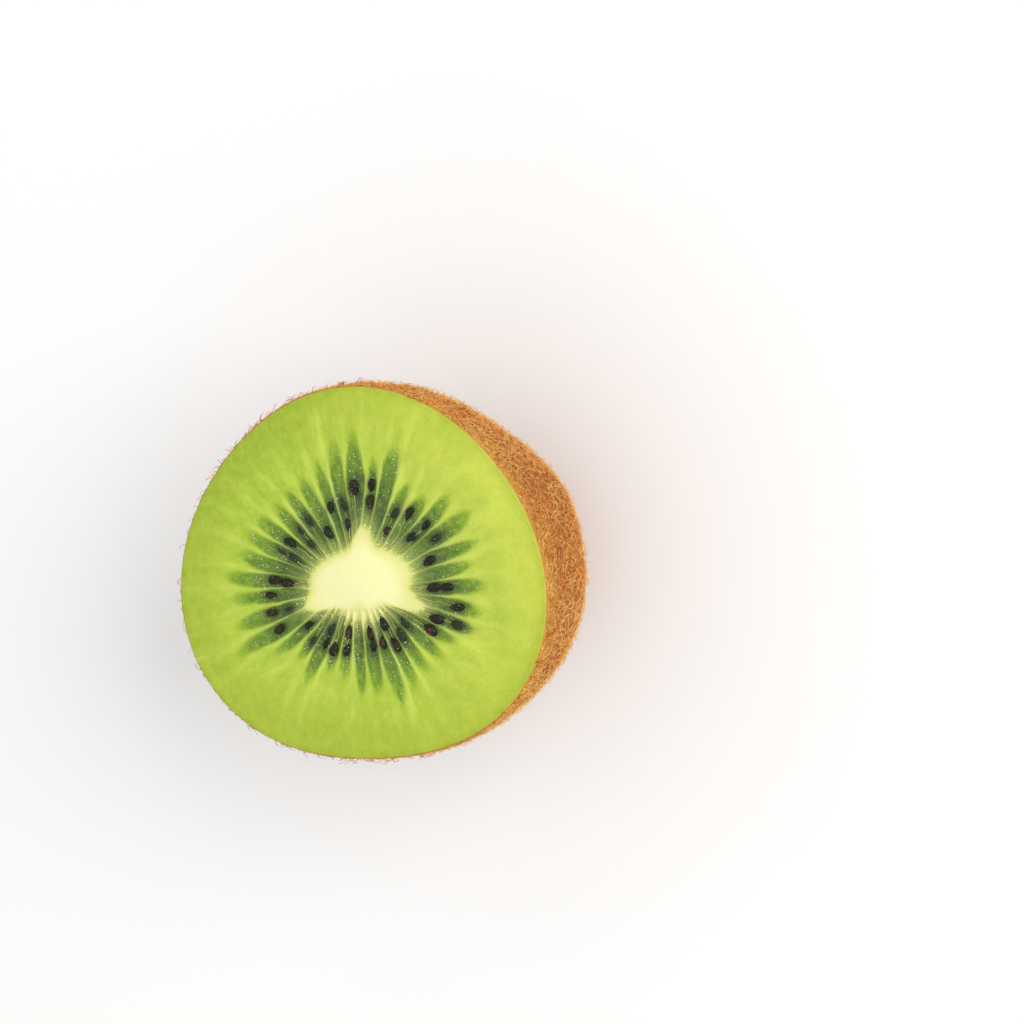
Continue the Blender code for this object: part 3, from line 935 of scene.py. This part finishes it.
# How far the hairs' middle lines may reach past the solid's sides and above its cut, and how near the floor.
fuzzRoom = {"sides": (0.62 * mm, 0.7 * mm), "above": 0.08 * mm, "floor": 0.1 * mm}
fuzzKinds = {
    "downFuzz": {
        "count": 21500, "rings": 1, "length": (0.35, 0.7), "stand": (0.06, 0.24), "width": 0.075,
        "curl": 0.35, "draw": 31, "dark": tint(178, 82, 28), "light": tint(255, 168, 80),
    },
    "curlyFuzz": {
        "count": 9300, "rings": 3, "length": (0.65, 1.2), "stand": (0.14, 0.38), "width": 0.095,
        "curl": 0.55, "draw": 37, "dark": tint(222, 116, 42), "light": tint(255, 226, 128),
    },
    "wispyFuzz": {
        "count": 5600, "rings": 3, "length": (0.75, 1.3), "stand": (0.38, 0.74), "width": 0.085,
        "curl": 0.55, "draw": 43, "dark": tint(234, 136, 52), "light": tint(255, 226, 138),
    },
    "bristles": {
        "count": 7000, "rings": 1, "length": (0.15, 0.35), "stand": (0.12, 0.3), "width": 0.12,
        "curl": 0.1, "draw": 41, "dark": tint(150, 54, 20), "light": tint(214, 98, 38),
    },
}
rimHair = {
    "count": 8400, "rings": 2, "length": (0.35, 0.85), "stand": (0.1, 0.36), "width": 0.085,
    "curl": 0.45, "draw": 47, "dark": tint(214, 120, 42), "light": tint(255, 222, 124),
}
rimWisps = {
    "count": 380, "rings": 4, "length": (0.8, 1.7), "stand": (0.4, 0.8), "width": 0.1,
    "curl": 0.5, "draw": 59, "dark": tint(170, 68, 14), "light": tint(234, 136, 42),
}
scarBristles = {
    "count": 1800, "rings": 1, "length": (0.3, 0.75), "stand": (0.15, 0.45), "width": 0.11,
    "curl": 0.3, "draw": 67, "dark": tint(104, 40, 18), "light": tint(196, 92, 40),
}


def fuzzMaterial(name, look):
    material, tree, shader, place = newMaterial(name, 0.55, 0.15)
    shade = put(tree, "ValToRGB", {"Fac": layer(tree, "shade")})
    shade.color_ramp.elements[0].color = look["dark"]
    shade.color_ramp.elements[1].color = look["light"]
    paint(tree, shader, wash(tree, shade.outputs[0], (look["dark"], mottle(tree, place, 160.0, 0.7), 0.35)))
    return material


def hairTemplate(rings):
    # a three-sided hair, one long in Z, with rings where it may bend and no face at its root
    deselectAll()
    bpy.ops.mesh.primitive_cone_add(vertices=3, radius1=1, radius2=0, depth=1, location=(0, 0, 0.5))
    bpy.ops.object.transform_apply(location=True, rotation=False, scale=False)
    heights = [(number + 1) / (rings + 1) for number in range(rings)]
    editAll(bpy.context.object, *(
        (bpy.ops.mesh.bisect, {"plane_co": (0, 0, height), "plane_no": (0, 0, 1)}) for height in heights))
    points, faces = template(bpy.context.object)
    return points, faces[points[faces][:, :, 2].max(axis=1) > 0.001]


def skinSamples(count, draw, top, bottom, gather):
    # random places on the skin between two shares of the way down, with the directions at each. They are
    # even where gather is 1, and thin out downwards where it is more.
    ladder = np.linspace(top, bottom, 400)
    profile = np.stack([sideRadius(0.0, ladder), form["halfLength"] * ladder], axis=-1)
    steps = np.linalg.norm(np.diff(profile, axis=0), axis=1)
    weight = np.concatenate(([0], np.cumsum(steps * (profile[1:, 0] + profile[:-1, 0]))))
    share = np.interp((1 - draw.uniform(0, 1, count) ** (1 / gather)) * weight[-1], weight, ladder)
    angle = draw.uniform(0, lap, count)
    sideways = unit(skinPoint(angle + 0.01, share) - skinPoint(angle - 0.01, share))
    downward = unit(skinPoint(angle, share + 0.002) - skinPoint(angle, share - 0.002))
    return share, skinPoint(angle, share), np.cross(downward, sideways), downward, sideways


def makeFuzz(name, kind, top=0.016, bottom=float(shareWhere(6.3 * mm)), upward=0, laidFlat=0.75, gather=1.0):
    draw = np.random.default_rng(kind["draw"])
    points, faces = hairTemplate(kind["rings"])
    count = kind["count"]
    share, root, outward, downward, sideways = skinSamples(count, draw, top, bottom, gather)
    outward = unit(outward - downward * upward)
    length = draw.uniform(*kind["length"], count) * mm
    stand = draw.uniform(*kind["stand"], count) * mm
    # hairs lie every way with a lean shared by their patch, and lie flat near the rim on the far side
    facingAngle = np.arctan2(root[:, 0] - axis.x, axis.y - root[:, 1])
    farSide = 0.25 + 0.75 * step(-np.cos(facingAngle), -0.55, 0.3)
    flat = laidFlat * np.exp(-((share / 0.045) ** 2)) * farSide
    stand = stand * (1 - flat)
    heading = (draw.normal(0, 1.05, count) + roughly(root, 4 * mm, 9.0) * 2.2) * (1 - flat)
    lean = downward * np.cos(heading)[:, None] + sideways * np.sin(heading)[:, None]
    curl = draw.normal(0, kind["curl"], count) * length
    phase = draw.uniform(0, lap, count)
    girth = kind["width"] * mm / 2 * draw.uniform(0.75, 1.2, count)
    reach = np.sqrt(np.maximum(length ** 2 - stand ** 2, (0.2 * length) ** 2))

    # each hair's middle line, one row of places for each copy, and then its thickness
    t = points[:, 2][None, :, None]
    root, outward, lean, across = (each[:, None] for each in (root, outward, lean, np.cross(outward, lean)))
    stand, reach, curl, phase, girth = (each[:, None, None] for each in (stand, reach, curl, phase, girth))
    wave = np.sin(phase + t * 5.0) - np.sin(phase)
    line = root + outward * stand * np.sin(t * 1.75) + lean * reach * t ** 1.25 + across * curl * wave * 0.5
    # only the middle line is held back there, so that each hair keeps its full thickness
    line[..., 2] = np.clip(line[..., 2], fuzzRoom["floor"], cutLevel + fuzzRoom["above"])
    for side, proud in enumerate(fuzzRoom["sides"]):
        line[..., side] = np.clip(line[..., side], lowCorner[side] - proud, highCorner[side] + proud)
    taper = np.where(t > 0.999, 0, (1 - 0.45 * t) / np.maximum(1 - t, 1e-6))
    sides = across * points[:, 0][None, :, None] + outward * points[:, 1][None, :, None]
    copies = line + sides * girth * taper

    # each hair's tone: random, paler towards its tip and darker near the scar, with painted light: brighter
    # near the rim and on the side at about -58 degrees round the fruit
    shade = draw.uniform(0.0, 1.0, count)[:, None] ** 1.2 * 0.6 + 0.5 * points[:, 2][None, :]
    nearScar = 1 - step(sideRadius(0.0, share), 7 * mm, 12 * mm)
    brighter = 0.24 * np.exp(-share / 0.14) - 0.5 * nearScar + 0.14 * swelling(facingAngle, -58, 40)
    fuzz = joinCopies(name, copies, faces, {"shade": np.clip(shade + brighter[:, None], 0, 1)})
    finishPiece(fuzz, fuzzMaterial(name + "Hair", kind))


for kindName, kind in fuzzKinds.items():
    say(kindName)
    makeFuzz(kindName, kind)
say("rim hairs")
makeFuzz("rimFuzz", rimHair, top=0.004, bottom=0.13, upward=0.2, laidFlat=0.6, gather=2.3)
makeFuzz("rimWisps", rimWisps, top=0.008, bottom=0.04, upward=0.5, laidFlat=0.0)
scarReach = [float(shareWhere(radius * mm)) for radius in (9.5, 6.4)]
makeFuzz("scarBristles", scarBristles, top=scarReach[0], bottom=scarReach[1], gather=0.7)

# Glistening beads along the core's scalloped edge and at the chambers' inner ends.

beads = {
    "count": 170, "radius": (0.04, 0.1), "draw": 53,
    "colour": tint(252, 250, 200),
}


def makeBeads():
    draw = np.random.default_rng(beads["draw"])
    deselectAll()
    bpy.ops.mesh.primitive_ico_sphere_add(subdivisions=2, radius=1)
    points, faces = template(bpy.context.object)
    count = beads["count"]
    angle = draw.uniform(0, lap, count)
    beyond = draw.normal(0.15 * mm, 0.35 * mm, count) + coreFill(angle)
    place = facePoint(angle, np.clip(beyond, 0, None))
    size = draw.uniform(*beads["radius"], count) * mm
    stretch = np.stack([size, size, size * 0.5], axis=-1)
    copies = place[:, None] + points[None] * stretch[:, None]
    look = mottledMaterial("coreBead", 0.2, 0.5, beads["colour"], fleshLook["coreEdge"], 800.0, 0.6)
    finishPiece(joinCopies("coreBeads", copies, faces, {}), look)


say("beads")
makeBeads()

# The floor, light and camera.

studio = {
    "floorSize": 3.0,
    "floor": tint(255, 255, 254), "floorShade": tint(253, 253, 252),
    "worldStrength": 0.77,
    "keyPower": 10.0, "keySize": 1.0, "keyPlace": (0.06, -1.08, 0.64), "keyAim": (0, 0, 0.02),
}
shot = {
    "tilt": math.radians(27.5), "roll": math.radians(15.1),
    "distance": 450 * mm, "focalPixels": 3600.0, "frameSide": 1024,
    "axisPixel": (358.3, 580.1), "sensor": 36.0,
}


def makeStudio():
    deselectAll()
    bpy.ops.mesh.primitive_plane_add(size=studio["floorSize"], location=(0, 0, 0))
    floor = bpy.context.object
    floor.name = "floor"
    look = mottledMaterial("paleFloor", 0.8, 0.1, studio["floor"], studio["floorShade"], 3.0, 0.3)
    floor.data.materials.append(look)
    world = bpy.data.worlds.new("studio")
    world.use_nodes = True
    sky = world.node_tree.nodes["Background"]
    sky.inputs["Color"].default_value = (1, 1, 1, 1)
    sky.inputs["Strength"].default_value = studio["worldStrength"]
    bpy.context.scene.world = world
    bpy.ops.object.light_add(type="AREA", location=studio["keyPlace"])
    key = bpy.context.object
    key.data.energy = studio["keyPower"]
    key.data.size = studio["keySize"]
    key.rotation_euler = (Vector(studio["keyAim"]) - key.location).to_track_quat("-Z", "Y").to_euler()
    bpy.context.scene.view_settings.view_transform = "Standard"


def makeCamera():
    # across the cut, towards the skin that shows, is -Y; the other way across is +X
    towards, over, upward = Vector((0, -1, 0)), Vector((1, 0, 0)), Vector((0, 0, 1))
    tilt, roll = shot["tilt"], shot["roll"]
    back = upward * math.cos(tilt) + towards * math.sin(tilt)
    level = towards * math.cos(tilt) - upward * math.sin(tilt)
    right = level * math.cos(roll) - over * math.sin(roll)
    up = level * math.sin(roll) + over * math.cos(roll)
    scale = shot["distance"] / shot["focalPixels"]
    shiftRight = (shot["axisPixel"][0] - shot["frameSide"] / 2) * scale
    shiftUp = (shot["frameSide"] / 2 - shot["axisPixel"][1]) * scale
    camera = addObject("camera", bpy.data.cameras.new("camera"))
    camera.location = axis + back * shot["distance"] - right * shiftRight - up * shiftUp
    turned = camera.matrix_world.to_3x3()
    turned.col[0], turned.col[1], turned.col[2] = right, up, back
    camera.rotation_euler = turned.to_euler()
    camera.data.sensor_width = shot["sensor"]
    camera.data.lens = shot["focalPixels"] / shot["frameSide"] * shot["sensor"]
    camera.data.clip_start, camera.data.clip_end = 0.01, 10
    bpy.context.scene.camera = camera


say("studio")
makeStudio()
makeCamera()
